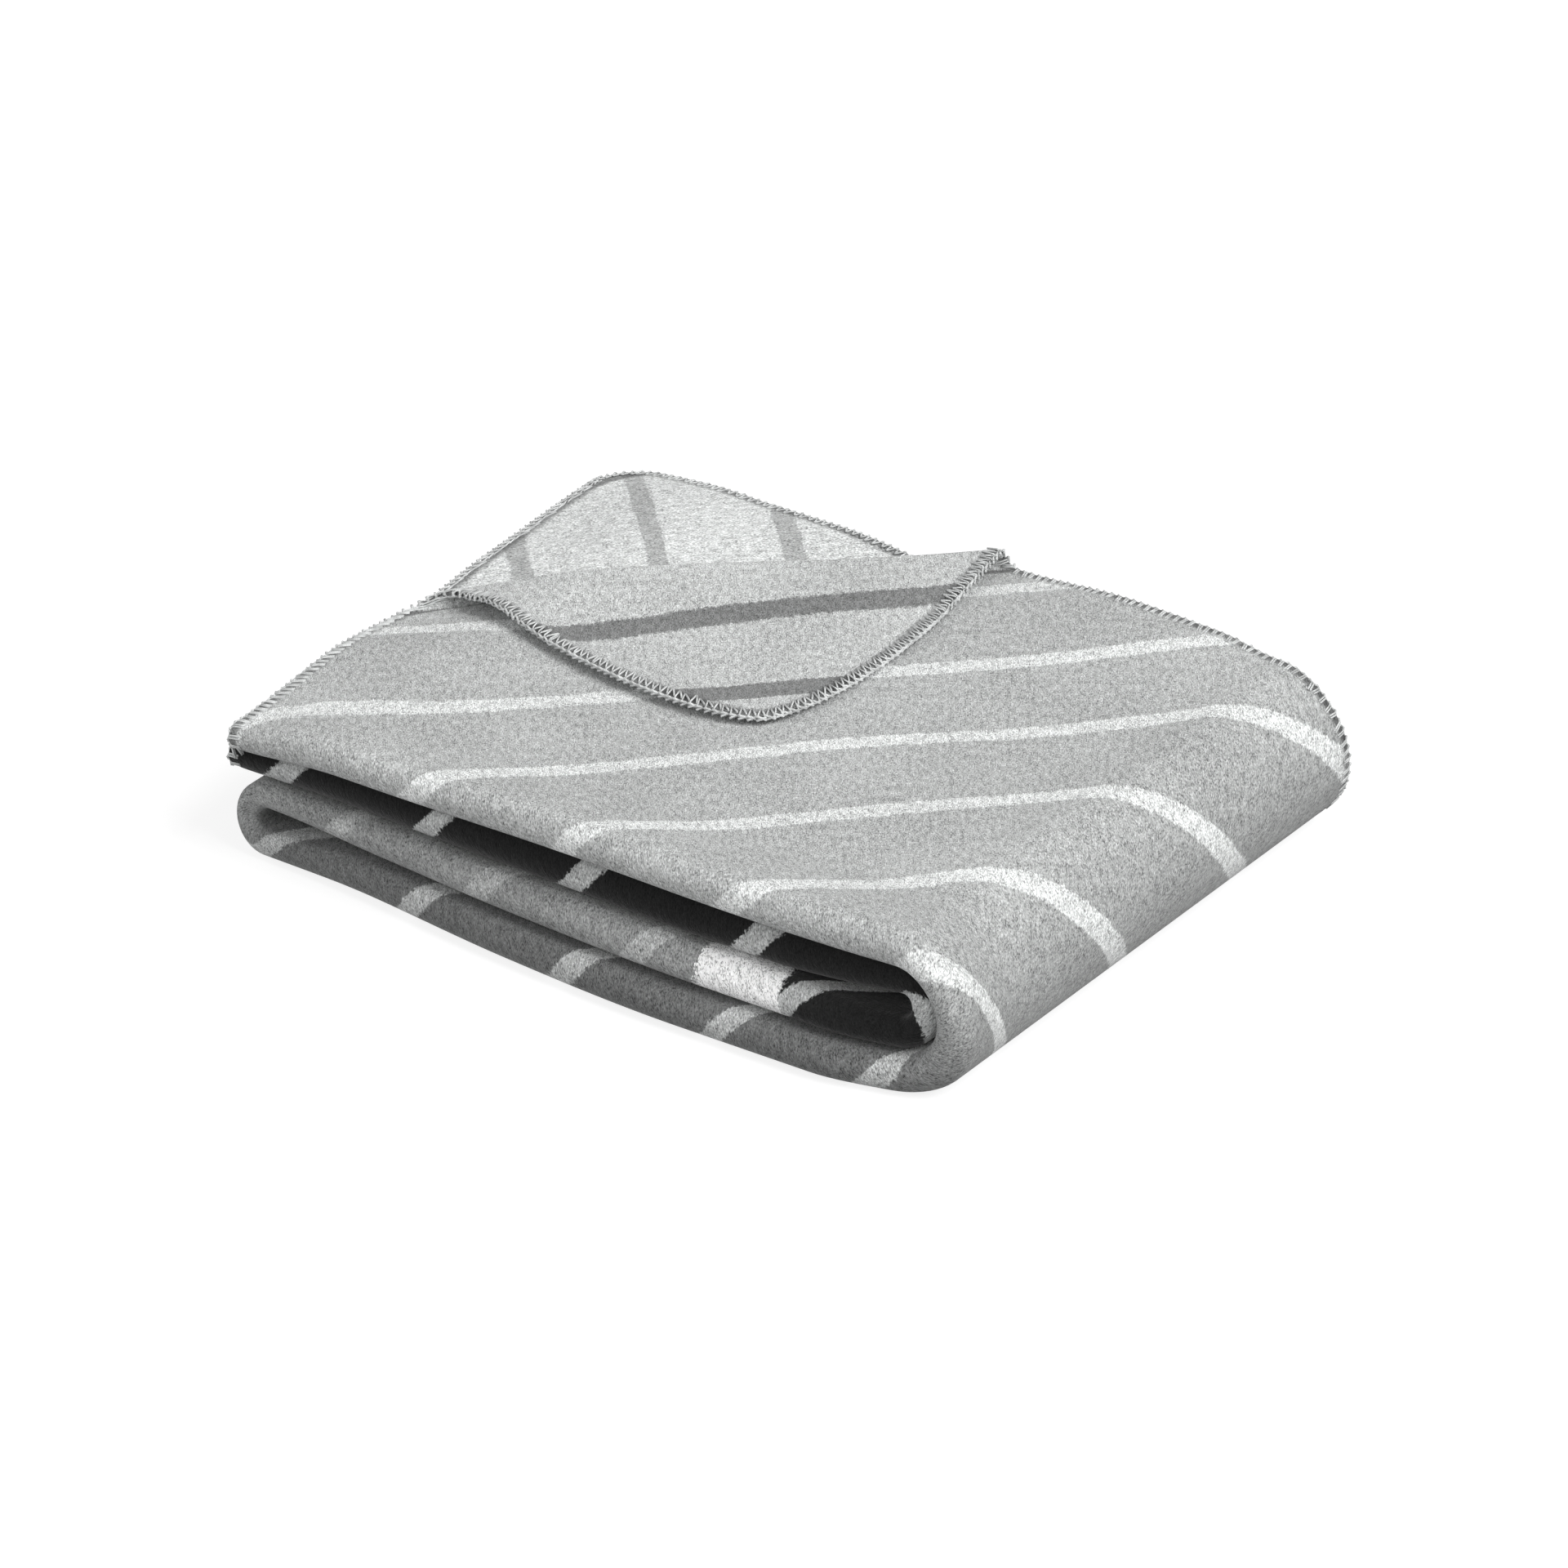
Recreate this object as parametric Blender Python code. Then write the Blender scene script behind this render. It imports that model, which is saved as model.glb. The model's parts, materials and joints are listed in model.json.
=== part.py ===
"""Folded throw blanket: one double-faced woven throw of 1.5 m by 2.0 m, folded in four across its
width and in four along its length, with the top corner of its outermost layer turned down.
Metres, +Z up. +X runs along the pile towards the outer wrap, -Y is the side of the rounded folds."""
import bpy
import bmesh
from math import atan2, cos, pi, sin, sqrt, tan
from mathutils import Vector

# ---- driving sizes -------------------------------------------------------------------------
CLOTH = 0.0045          # thickness of one layer with its nap
PITCH = 0.0059          # from one layer to the next
STRAIGHT = 0.442        # flat run of each leaf between its folds
END_REACH = 0.018       # how far the two hem ends pass the start of the left fold
FOLD_Y = -0.200         # outer face of the rounded side folds
HEM_Y = 0.191           # the stacked hems on the other side
LOOSE_HEM = 0.031       # how far the outermost layer's hem has crept out at its loose corner
LOOSE_END = 0.004       # and how much of that is left where it meets the outer wrap
INNER_FOLD_Y = 0.140    # hidden middle fold of each leaf
CORNER_X = 0.2635       # how much of the loose hem is turned down, to the start of its roll
CORNER_Y = 0.2296       # and how much of the end
TIP_REACH = 0.200       # from the roll to the point of the corner, before it is rounded
ROLL_R = 0.0060         # radius of the soft roll along the crease, to the middle of the cloth
TIP_R = 0.030           # rounding of the throw's corner
EDGE_W = 0.0050         # width of the stitched edging
GAP = 0.0003            # clearance between neighbouring pieces
HINGE_RISE = 0.0075     # opening axis above the plane between the two halves
ARC_SIDE, ARC_WRAP, ARC_SMALL = 8, 14, 10   # steps round the side folds and the end folds

LOOSE_AT_CREASE = LOOSE_HEM - (LOOSE_HEM - LOOSE_END) * CORNER_X / (STRAIGHT + END_REACH)
Y_SHIFT = -(FOLD_Y + HEM_Y + LOOSE_AT_CREASE + EDGE_W) / 2   # centres the footprint

for old in list(bpy.data.objects):
    bpy.data.objects.remove(old, do_unlink=True)


def material(name, colour, rough):
    made = bpy.data.materials.new(name)
    made.use_nodes = True
    shader = made.node_tree.nodes["Principled BSDF"]
    shader.inputs["Base Color"].default_value = (*colour, 1)
    shader.inputs["Roughness"].default_value = rough
    return made


FABRIC = material("throw_fabric", (0.37, 0.375, 0.375), 0.95)
YARN = material("edging_yarn", (0.24, 0.245, 0.245), 0.85)


# ---- the section of a leaf -----------------------------------------------------------------
def arc(cy, cn, r, start, end, steps):
    return [(cy + r * cos(start + (end - start) * k / steps), cn + r * sin(start + (end - start) * k / steps))
            for k in range(steps + 1)]


def leaf_path(top_hem, next_hem):
    """The middle line of four layers in (y, n). n is measured from the leaf's middle, towards the
    layer that ends at the top hem."""
    side = FOLD_Y + Y_SHIFT + 1.5 * PITCH + CLOTH / 2
    return ([(top_hem, 1.5 * PITCH)]
            + arc(side, 0, 1.5 * PITCH, pi / 2, 3 * pi / 2, ARC_SIDE)
            + arc(INNER_FOLD_Y + Y_SHIFT, -PITCH, PITCH / 2, -pi / 2, pi / 2, 6)
            + arc(side, 0, PITCH / 2, 3 * pi / 2, pi / 2, 6)
            + [(next_hem, PITCH / 2)])


def offset_pairs(path, half):
    """Both faces of a strip of thickness 2 * half round a middle line."""
    pairs = []
    for k, here in enumerate(path):
        before, after = path[max(k - 1, 0)], path[min(k + 1, len(path) - 1)]
        along_in = Vector(here) - Vector(before) if k else Vector(after) - Vector(here)
        along_out = Vector(after) - Vector(here) if k < len(path) - 1 else along_in
        along_in.normalize()
        along_out.normalize()
        mean = (along_in + along_out).normalized()
        side = Vector((-mean.y, mean.x)) * half / max(mean.dot(along_in), 0.5)
        pairs.append((Vector(here) + side, Vector(here) - side))
    return pairs


# ---- meshes --------------------------------------------------------------------------------
def finish(name, bm, mat, smooth=True):
    bmesh.ops.remove_doubles(bm, verts=bm.verts, dist=1e-7)
    bmesh.ops.recalc_face_normals(bm, faces=bm.faces)
    mesh = bpy.data.meshes.new(name)
    bm.to_mesh(mesh)
    bm.free()
    mesh.materials.append(mat)
    for face in mesh.polygons:
        face.use_smooth = smooth
    made = bpy.data.objects.new(name, mesh)
    bpy.context.scene.collection.objects.link(made)
    return made


def strip(name, mat, paths, half, stations):
    """A strip of cloth carried through stations, each a map from (y, n) to a point, with the middle
    line that paths gives for each."""
    bm = bmesh.new()
    rings = [[(bm.verts.new(at(a.x, a.y)), bm.verts.new(at(b.x, b.y))) for a, b in offset_pairs(path, half)]
             for path, at in zip(paths, stations)]
    for one, two in zip(rings, rings[1:]):
        for (a, b), (c, d), (e, f), (g, h) in zip(one, one[1:], two, two[1:]):
            bm.faces.new((a, c, g, e))
            bm.faces.new((b, f, h, d))
        for k in (0, -1):
            bm.faces.new((one[k][0], one[k][1], two[k][1], two[k][0]))
    for ring in (rings[0], rings[-1]):
        for (a, b), (c, d) in zip(ring, ring[1:]):
            bm.faces.new((a, b, d, c))
    return finish(name, bm, mat)


def bar(name, mat, outlines, stations):
    """A bar carried through stations, with the convex outline in (y, n) that outlines gives for each."""
    bm = bmesh.new()
    rings = [[bm.verts.new(at(y, n)) for y, n in outline] for outline, at in zip(outlines, stations)]
    count = len(outlines[0])
    for one, two in zip(rings, rings[1:]):
        for k in range(count):
            bm.faces.new((one[k], one[(k + 1) % count], two[(k + 1) % count], two[k]))
    bm.faces.new(rings[0])
    bm.faces.new(rings[-1])
    return finish(name, bm, mat)


def flat_at(x, z, sign):
    return lambda y, n: Vector((x, y, z + sign * n))


def round_at(x, z, radius, towards, sign, turn):
    """A place on an end fold: turn runs from 0 at its top to pi at its bottom."""
    return lambda y, n: Vector((x + towards * (radius + sign * n) * sin(turn), y,
                                z + (radius + sign * n) * cos(turn)))


def edge_outline(hem, n):
    half = CLOTH / 2 - 0.0001
    return [(hem + GAP, n - half), (hem + EDGE_W * 0.7, n - half), (hem + EDGE_W, n - half / 2),
            (hem + EDGE_W, n + half / 2), (hem + EDGE_W * 0.7, n + half), (hem + GAP, n + half)]


def cut(target, corners, low, high):
    """Takes an upright prism with these corners out of the target."""
    bm = bmesh.new()
    foot = [bm.verts.new((x, y, low)) for x, y in corners]
    head = [bm.verts.new((x, y, high)) for x, y in corners]
    count = len(corners)
    bm.faces.new(foot)
    bm.faces.new(head)
    for k in range(count):
        bm.faces.new((foot[k], foot[(k + 1) % count], head[(k + 1) % count], head[k]))
    cutter = finish("cutter_" + target.name, bm, FABRIC, smooth=False)
    cutter.hide_render = True
    cutter.display_type = "WIRE"
    step = target.modifiers.new("corner", "BOOLEAN")
    step.operation, step.solver, step.object = "DIFFERENCE", "EXACT", cutter


# ---- the four leaves -----------------------------------------------------------------------
OUTER_R = 7.5 * PITCH + CLOTH / 2                  # outside of the outer wrap
X_LEFT = -(STRAIGHT + OUTER_R - END_REACH - EDGE_W) / 2
X_RIGHT = X_LEFT + STRAIGHT
X_END = X_LEFT - END_REACH
MID = {leaf: CLOTH / 2 + (4 * k + 1.5) * PITCH for k, leaf in enumerate("dcba")}
FACE = {"a": 1, "b": -1, "c": 1, "d": -1}          # the way each leaf's top-hem layer faces
HEM = HEM_Y + Y_SHIFT
LOOSE, KEPT = HEM + LOOSE_HEM, HEM + LOOSE_END     # the outermost layer's hem, at its two ends
PATH = leaf_path(HEM, HEM)
PATH_END, PATH_WRAP = leaf_path(LOOSE, HEM), leaf_path(KEPT, HEM)


def hem_at(x):
    """The outermost layer's hem on the first leaf."""
    return LOOSE + (KEPT - LOOSE) * (x - X_END) / (X_RIGHT - X_END)


nodes = {}
for leaf in "abcd":
    start = X_END if leaf in "ab" else X_LEFT + GAP / 2
    ends = [flat_at(x, MID[leaf], FACE[leaf]) for x in (start, X_RIGHT - GAP / 2)]
    paths = [PATH_END, PATH_WRAP] if leaf == "a" else [PATH, PATH]
    nodes["leaf_" + leaf] = strip("leaf_" + leaf, FABRIC, paths, CLOTH / 2, ends)
    for label, n in (("top", 1.5 * PITCH), ("next", 0.5 * PITCH)):
        name = f"edging_{leaf}_{label}"
        loose = leaf == "a" and label == "top"
        first = X_END + CORNER_X + GAP if loose else start
        run = [flat_at(x, MID[leaf], FACE[leaf]) for x in (first, X_RIGHT - GAP / 2)]
        hems = [hem_at(first), KEPT] if loose else [HEM, HEM]
        nodes[name] = bar(name, YARN, [edge_outline(hem, n) for hem in hems], run)

# ---- the stitched end hems of the first and last leaf --------------------------------------
for leaf, path in (("a", PATH_END), ("b", PATH)):
    reach = [(path[0][0] + EDGE_W, path[0][1])] + path[1:-1] + [(path[-1][0] + EDGE_W, path[-1][1])]
    run = [flat_at(x, MID[leaf], FACE[leaf]) for x in (X_END - EDGE_W, X_END - GAP)]
    nodes[f"edging_{leaf}_end"] = strip(f"edging_{leaf}_end", YARN, [reach] * 2, CLOTH / 2 - 0.0001, run)

# ---- the three end folds -------------------------------------------------------------------
CENTRE = {"left": CLOTH / 2 + 3.5 * PITCH, "inner": CLOTH / 2 + 7.5 * PITCH, "outer": CLOTH / 2 + 7.5 * PITCH}
for fold, x, radius, towards, sign, steps in (
        ("left", X_LEFT, 2 * PITCH, -1, 1, ARC_SMALL),
        ("inner", X_RIGHT, 2 * PITCH, 1, -1, ARC_SMALL),
        ("outer", X_RIGHT, 6 * PITCH, 1, 1, ARC_WRAP)):
    shift = GAP / 2 * towards
    turns = [pi * k / steps for k in range(steps + 1)]
    ring = [round_at(x + shift, CENTRE[fold], radius, towards, sign, turn) for turn in turns]
    hems = [HEM + (KEPT - HEM) * (1 - k / steps if fold == "outer" else 0) for k in range(steps + 1)]
    paths = [leaf_path(hem, HEM) for hem in hems]
    nodes[fold + "_fold"] = strip(fold + "_fold", FABRIC, paths, CLOTH / 2, ring)
    for label, n in (("top", 1.5 * PITCH), ("next", 0.5 * PITCH)):
        name = f"edging_{fold}_{label}"
        outlines = [edge_outline(hem if label == "top" else HEM, n) for hem in hems]
        nodes[name] = bar(name, YARN, outlines, ring)

# ---- the corner that is turned down --------------------------------------------------------
TOP_PLY = MID["a"] + 1.5 * PITCH                   # middle height of the outermost layer
far = 0.05
crease_right = Vector((X_END + CORNER_X, hem_at(X_END + CORNER_X)))
crease_left = crease_right - Vector((CORNER_X, CORNER_Y))
crease_length = (crease_right - crease_left).length
along = ((crease_right - crease_left) / crease_length).to_3d()
over = Vector((along.y, -along.x, 0))              # from the lost corner back over the pile
opened = [crease_left - far * along.xy, crease_right + far * along.xy, (X_END - far, crease_right.y + far)]
for name in ("leaf_a", "edging_a_end"):
    cut(nodes[name], opened, TOP_PLY - PITCH / 2, TOP_PLY + PITCH)

axis_at = Vector((*crease_left, TOP_PLY + ROLL_R))


def roll_at(turn):
    """The roll's section: it leaves the outermost layer at turn 0 and comes back over it at pi."""
    def place(s, n):
        r = ROLL_R + n
        inset = ROLL_R * turn                      # the hems run in towards the tip as the cloth rolls
        s = inset + s * (crease_length - 2 * inset)
        return axis_at + along * s - over * (r * sin(turn) + GAP) - Vector((0, 0, 1)) * r * cos(turn)
    return place


half = CLOTH / 2
roll = [roll_at(pi * k / ARC_SMALL) for k in range(ARC_SMALL + 1)]
outline = [(0, -half), (1, -half), (1, half), (0, half)]
nodes["crease_roll"] = bar("crease_roll", FABRIC, [outline] * len(roll), roll)

BASE = crease_length / 2 - pi * ROLL_R             # half of the flap's side along the roll
SPLAY = atan2(BASE, TIP_REACH)                     # half of the angle at the flap's point
slope = (2 * ROLL_R - CLOTH - 0.0006) / TIP_REACH
lean = 1 / sqrt(1 + slope * slope)


def flap_point(s, d, n):
    """s along the crease from its middle, d away from it over the pile, n through the cloth."""
    foot = axis_at + along * (crease_length / 2 + s) + Vector((0, 0, ROLL_R))
    run = (over - Vector((0, 0, slope))) * lean
    up = (Vector((0, 0, 1)) + over * slope) * lean
    return foot + run * (d + GAP) + up * n


def corner_line(grow):
    """The flap's two free sides and its rounded tip, grown outwards, from one end of the crease to
    the other."""
    reach = TIP_REACH + grow / sin(SPLAY)
    r = TIP_R + grow
    back = reach - r / sin(SPLAY)
    turn = pi / 2 - SPLAY
    tip = [(r * sin(turn * k / 4), back + r * cos(turn * k / 4)) for k in range(-4, 5)]
    return [(-reach * tan(SPLAY), 0)] + tip + [(reach * tan(SPLAY), 0)]


def slab(name, mat, inside, outside, thick):
    """A flat piece between two lines with as many points each; inside may be None for a full piece."""
    bm = bmesh.new()
    outer = [[bm.verts.new(flap_point(s, d, n)) for s, d in outside] for n in (-thick, thick)]
    if inside is None:
        bm.faces.new(outer[0])
        bm.faces.new(outer[1])
        count = len(outside)
        for k in range(count):
            j = (k + 1) % count
            bm.faces.new((outer[0][k], outer[0][j], outer[1][j], outer[1][k]))
        return finish(name, bm, mat)
    inner = [[bm.verts.new(flap_point(s, d, n)) for s, d in inside] for n in (-thick, thick)]
    for k in range(len(outside) - 1):
        for lay in (0, 1):
            bm.faces.new((inner[lay][k], inner[lay][k + 1], outer[lay][k + 1], outer[lay][k]))
        bm.faces.new((outer[0][k], outer[0][k + 1], outer[1][k + 1], outer[1][k]))
        bm.faces.new((inner[0][k], inner[0][k + 1], inner[1][k + 1], inner[1][k]))
    for k in (0, -1):
        bm.faces.new((inner[0][k], outer[0][k], outer[1][k], inner[1][k]))
    return finish(name, bm, mat)


nodes["corner_flap"] = slab("corner_flap", FABRIC, None, corner_line(0), half)
nodes["edging_flap"] = slab("edging_flap", YARN, corner_line(GAP), corner_line(EDGE_W), half - 0.0001)


# ---- joint axes ----------------------------------------------------------------------------
def hinge(name, place, members):
    empty = bpy.data.objects.new(name, None)
    empty.location = place
    bpy.context.scene.collection.objects.link(empty)
    bpy.context.view_layer.update()
    for member in members:
        member.parent = empty
        member.matrix_parent_inverse = empty.matrix_world.inverted()
    return empty


upper = [nodes[name] for name in nodes if name.startswith(("leaf_a", "leaf_b", "edging_a", "edging_b"))]
opening = hinge("top_half_axis", (X_RIGHT, 0, CENTRE["outer"] + HINGE_RISE), upper + [nodes["crease_roll"]])
turning = hinge("corner_axis", axis_at + along * crease_length / 2,
                [nodes["corner_flap"], nodes["edging_flap"]])
turning.parent = opening
turning.matrix_parent_inverse = opening.matrix_world.inverted()
bpy.context.view_layer.update()
print("opening axis", [round(v, 5) for v in opening.matrix_world.translation])
print("corner axis", [round(v, 5) for v in turning.matrix_world.translation], "along", tuple(along))
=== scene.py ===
# %% [markdown]
# A folded throw blanket. One big sheet of thick napped cloth, striped on the slant and paler on its back,
# is folded in four across and in four along, and its top corner is turned down to show the back. The solid
# model already fixes the size, the place and the moving bodies of every part, so this lesson starts by
# loading it and reads every position from it. Nothing that is made here may move those parts.

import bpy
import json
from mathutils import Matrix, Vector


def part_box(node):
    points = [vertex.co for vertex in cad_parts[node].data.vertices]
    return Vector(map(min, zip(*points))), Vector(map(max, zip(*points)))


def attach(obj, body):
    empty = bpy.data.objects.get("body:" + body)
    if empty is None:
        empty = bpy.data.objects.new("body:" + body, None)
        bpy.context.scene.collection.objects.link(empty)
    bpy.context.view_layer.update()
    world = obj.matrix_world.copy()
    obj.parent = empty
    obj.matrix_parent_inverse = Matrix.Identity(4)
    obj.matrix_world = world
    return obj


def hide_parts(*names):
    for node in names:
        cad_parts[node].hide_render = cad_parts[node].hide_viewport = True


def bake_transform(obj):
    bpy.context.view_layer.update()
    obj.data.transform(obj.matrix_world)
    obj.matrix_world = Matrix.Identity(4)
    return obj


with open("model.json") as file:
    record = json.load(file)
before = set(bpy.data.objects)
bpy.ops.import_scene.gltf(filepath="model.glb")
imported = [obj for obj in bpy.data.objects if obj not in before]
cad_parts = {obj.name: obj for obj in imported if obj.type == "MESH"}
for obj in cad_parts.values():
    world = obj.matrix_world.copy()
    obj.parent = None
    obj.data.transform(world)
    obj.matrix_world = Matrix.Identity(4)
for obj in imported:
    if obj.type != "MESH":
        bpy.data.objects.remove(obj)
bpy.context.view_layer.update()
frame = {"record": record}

# %% [markdown]
# Plain maths is enough for single numbers. The cloth has some hundred thousand points, so its shape is
# worked out on whole arrays of points at once.

# %% Tools
import json
from math import cos, pi, radians, sin

import bpy
import numpy as np
from mathutils import Vector


def ease(value, start, end):
    """0 before start, 1 after end, and a soft S between."""
    t = np.clip((np.asarray(value, float) - start) / (end - start), 0, 1)
    return t * t * (3 - 2 * t)


def into_scene(name, data):
    """A new object in the scene that holds this mesh, light or camera."""
    made = bpy.data.objects.new(name, data)
    bpy.context.scene.collection.objects.link(made)
    return made


# %% [markdown]
# The pile is four leaves, a to d from the top, each of four layers of cloth. Their heights and ends come
# from the boxes of the solid leaves: the layers lie a fixed step apart, and the folds at the two ends are
# half circles whose radius is a whole number of those steps.

# %% Sizes read from the solid model
low_d, high_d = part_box("leaf_d")
low_a, high_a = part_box("leaf_a")
low_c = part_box("leaf_c")[0]
GAP = 0.0003  # air between neighbouring solids
LAYERS = 4
OUTERMOST = 1.5  # steps from the middle of a leaf to its outermost layer
LOOP_STEPS, WRAP_STEPS = 2, 6  # radius of the two small folds and of the big outer one
STEP = (low_c.z - low_d.z) / LAYERS
SOLID_CLOTH = high_d.z - low_d.z - (LAYERS - 1) * STEP
CLOTH = 0.0038
EDGING = 0.0045
X_END = low_a.x - EDGING
X_LEFT = low_d.x - GAP / 2
X_RIGHT = high_d.x + GAP / 2
SIDE = low_d.y
HEM = high_d.y + EDGING
MIDDLE = {leaf: SOLID_CLOTH / 2 + (LAYERS * k + OUTERMOST) * STEP for k, leaf in enumerate("dcba")}
CENTRE = {"left": MIDDLE["d"] + LOOP_STEPS * STEP, "inner": MIDDLE["c"] + LOOP_STEPS * STEP,
          "outer": MIDDLE["b"] - LOOP_STEPS * STEP}
joints = {joint["name"]: joint for joint in frame["record"]["behaviour"]["joints"]}
crease_middle = Vector(joints["corner_turns_back"]["pos_m"])
along = -Vector(joints["corner_turns_back"]["axis"]).normalized()
over = Vector((along.y, -along.x, 0))
crease_half = (crease_middle.x - X_END) / along.x
crease_left = crease_middle - along * crease_half
crease_right = crease_middle + along * crease_half
print("step", round(STEP, 5), "side fold", round(SIDE, 4), "hems", round(HEM, 4))
print("crease from", crease_left, "to", crease_right)

# %% [markdown]
# Along its length the cloth is one path: leaf a to the right, down the outer fold, leaf d back to the left,
# up the left fold, leaf c, the inner fold, and leaf b out to its free end. Real cloth is pressed thin close
# to a tight fold and stays open inside the loop, which leaves a small dark hollow there, so the layers are
# drawn closer together near those folds and near the two free ends.

# %% The path along the throw
PINCH = 0.27
END_PINCH = 0.24
PINCH_RUN = 0.085
SMALL_FOLD, BIG_FOLD = pi * LOOP_STEPS * STEP, pi * WRAP_STEPS * STEP
RUNS = {"a": X_RIGHT - X_END, "outer": BIG_FOLD, "d": X_RIGHT - X_LEFT, "left": SMALL_FOLD,
        "c": X_RIGHT - X_LEFT, "inner": SMALL_FOLD, "b": X_RIGHT - X_END}
STARTS = {name: sum(list(RUNS.values())[:k]) for k, name in enumerate(RUNS)}
LENGTH = sum(RUNS.values())
FACING = {"a": 1, "b": -1, "c": 1, "d": -1}
SLACK = {"a": 0, "b": 0.009, "c": 0.004, "d": -0.003}
NEXT = {"outer": ("a", "d"), "left": ("d", "c"), "inner": ("c", "b")}
SPARE = OUTERMOST * STEP * PINCH


def spine(part, t):
    """Where the middle of the four layers runs at t, from 0 to 1, of a part: x, z, the way (nx, nz) in which
    the first hem's layer lies, the step between layers, and how far the side folds stand back."""
    t = np.asarray(t, float)
    if part in FACING:
        ahead = part in "ac"
        start = X_END if part in "ab" else X_LEFT
        x = start + (X_RIGHT - start) * (t if ahead else 1 - t)
        tight_right = ease(x, X_RIGHT - PINCH_RUN, X_RIGHT) if part in "bc" else 0 * x
        tight_left = 1 - ease(x, X_LEFT, X_LEFT + PINCH_RUN)
        if part in "ab":
            tight_left = 1 - ease(x, X_END, X_END + PINCH_RUN)
        left_pinch = END_PINCH if part in "ab" else PINCH
        step = STEP * (1 - PINCH * tight_right - left_pinch * tight_left)
        fall = {"a": -3 * OUTERMOST * END_PINCH, "b": -OUTERMOST * END_PINCH, "c": PINCH * OUTERMOST,
                "d": -PINCH * OUTERMOST}[part]
        rise = {"b": SPARE, "c": -SPARE}.get(part, 0)
        z = MIDDLE[part] + STEP * fall * tight_left + rise * tight_right
        return x, z, 0 * x, FACING[part] + 0 * x, step, SLACK[part] + 0 * x
    before, after = NEXT[part]
    pinch = 0 if part == "outer" else PINCH
    radius = WRAP_STEPS * STEP if part == "outer" else LOOP_STEPS * STEP + SPARE
    step = STEP * (1 - pinch) + 0 * t
    out = -1 if part == "left" else 1
    turn = pi * t if part == "outer" else pi * (1 - t)
    edge = X_LEFT if part == "left" else X_RIGHT
    x = edge + out * radius * np.sin(turn)
    z = CENTRE[part] + radius * np.cos(turn)
    inward = -1 if part == "inner" else 1
    slack = SLACK[before] + (SLACK[after] - SLACK[before]) * ease(t, 0, 1)
    return x, z, out * inward * np.sin(turn), inward * np.cos(turn), step, slack


# %% [markdown]
# Across its width the cloth is folded in half and in half again. From its first hem it runs to the side
# fold as the outermost layer, back as the innermost of the other half, round a hidden middle fold, and out
# to its second hem between them. Seven stretches, straight or half round, describe that section, and each
# has its real length, so a mark on the cloth can be placed by its distance w from the first hem and its
# distance l along the throw.

# %% The section across the throw
LOOSE, KEPT = 0.031, 0.004  # how far the top leaf's first hem has crept out, at its two ends
MIDDLE_FOLD = 0.134
CORNER = 0.030  # radius of the throw's rounded corners
FOLD_EASE = 0.045  # the width over which the crept cloth is taken up at the side fold
HALF_SLIP = 0.025  # how far the pattern of the second half lies off the first half's
STITCH_DEPTH = 0.0075
PRESSED = 0.62  # thickness under the stitches, as a share of the cloth's
TURN_IN = OUTERMOST * STEP + SOLID_CLOTH / 2
FIRST_RUN = HEM + LOOSE - SIDE - TURN_IN
INSIDE_RUN = MIDDLE_FOLD - SIDE - TURN_IN
LAST_RUN = HEM - SIDE - TURN_IN
STRETCHES = [FIRST_RUN, pi * OUTERMOST * STEP, INSIDE_RUN, pi * STEP / 2, INSIDE_RUN, pi * STEP / 2, LAST_RUN]
MARKS = np.concatenate([[0], np.cumsum(STRETCHES)])
WIDTH = MARKS[-1]
print("throw", round(WIDTH, 3), "x", round(LENGTH, 3))


def first_hem(part, x, t):
    """The first hem of each part. On the top leaf it has crept out, most of all near its corner."""
    if part == "a":
        return HEM + LOOSE + (KEPT - LOOSE) * (x - X_END) / (X_RIGHT - X_END)
    if part == "outer":
        return HEM + KEPT * (1 - t)
    return HEM + 0 * x


def corner_cut(x):
    """How much a rounded corner takes off a hem near the free end."""
    near = np.clip(CORNER - (x - X_END), 0, CORNER)
    return CORNER - np.sqrt(CORNER ** 2 - near ** 2)


def w_of(stretch, u):
    """The distance from the first hem at u, from 0 to 1, of a stretch."""
    return MARKS[stretch] + STRETCHES[stretch] * u


def from_end(part, t):
    """How far a place is from the free ends of the throw, along it."""
    l = STARTS[part] + RUNS[part] * np.asarray(t, float)
    return np.minimum(l, LENGTH - l)


def rim_distance(part, t, stretch, u):
    """The distance to the stitched rim, round corners included."""
    w = w_of(stretch, u)
    across, onward = np.broadcast_arrays(np.minimum(w, WIDTH - w), from_end(part, t))
    corner = np.hypot(np.clip(CORNER - across, 0, 1), np.clip(CORNER - onward, 0, 1))
    return np.where((across < CORNER) & (onward < CORNER), CORNER - corner, np.minimum(across, onward))


def half_cloth(rim):
    """Half the cloth's thickness, which is pressed thinner under the stitches."""
    return CLOTH / 2 * (PRESSED + (1 - PRESSED) * ease(rim, 0, STITCH_DEPTH))


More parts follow.
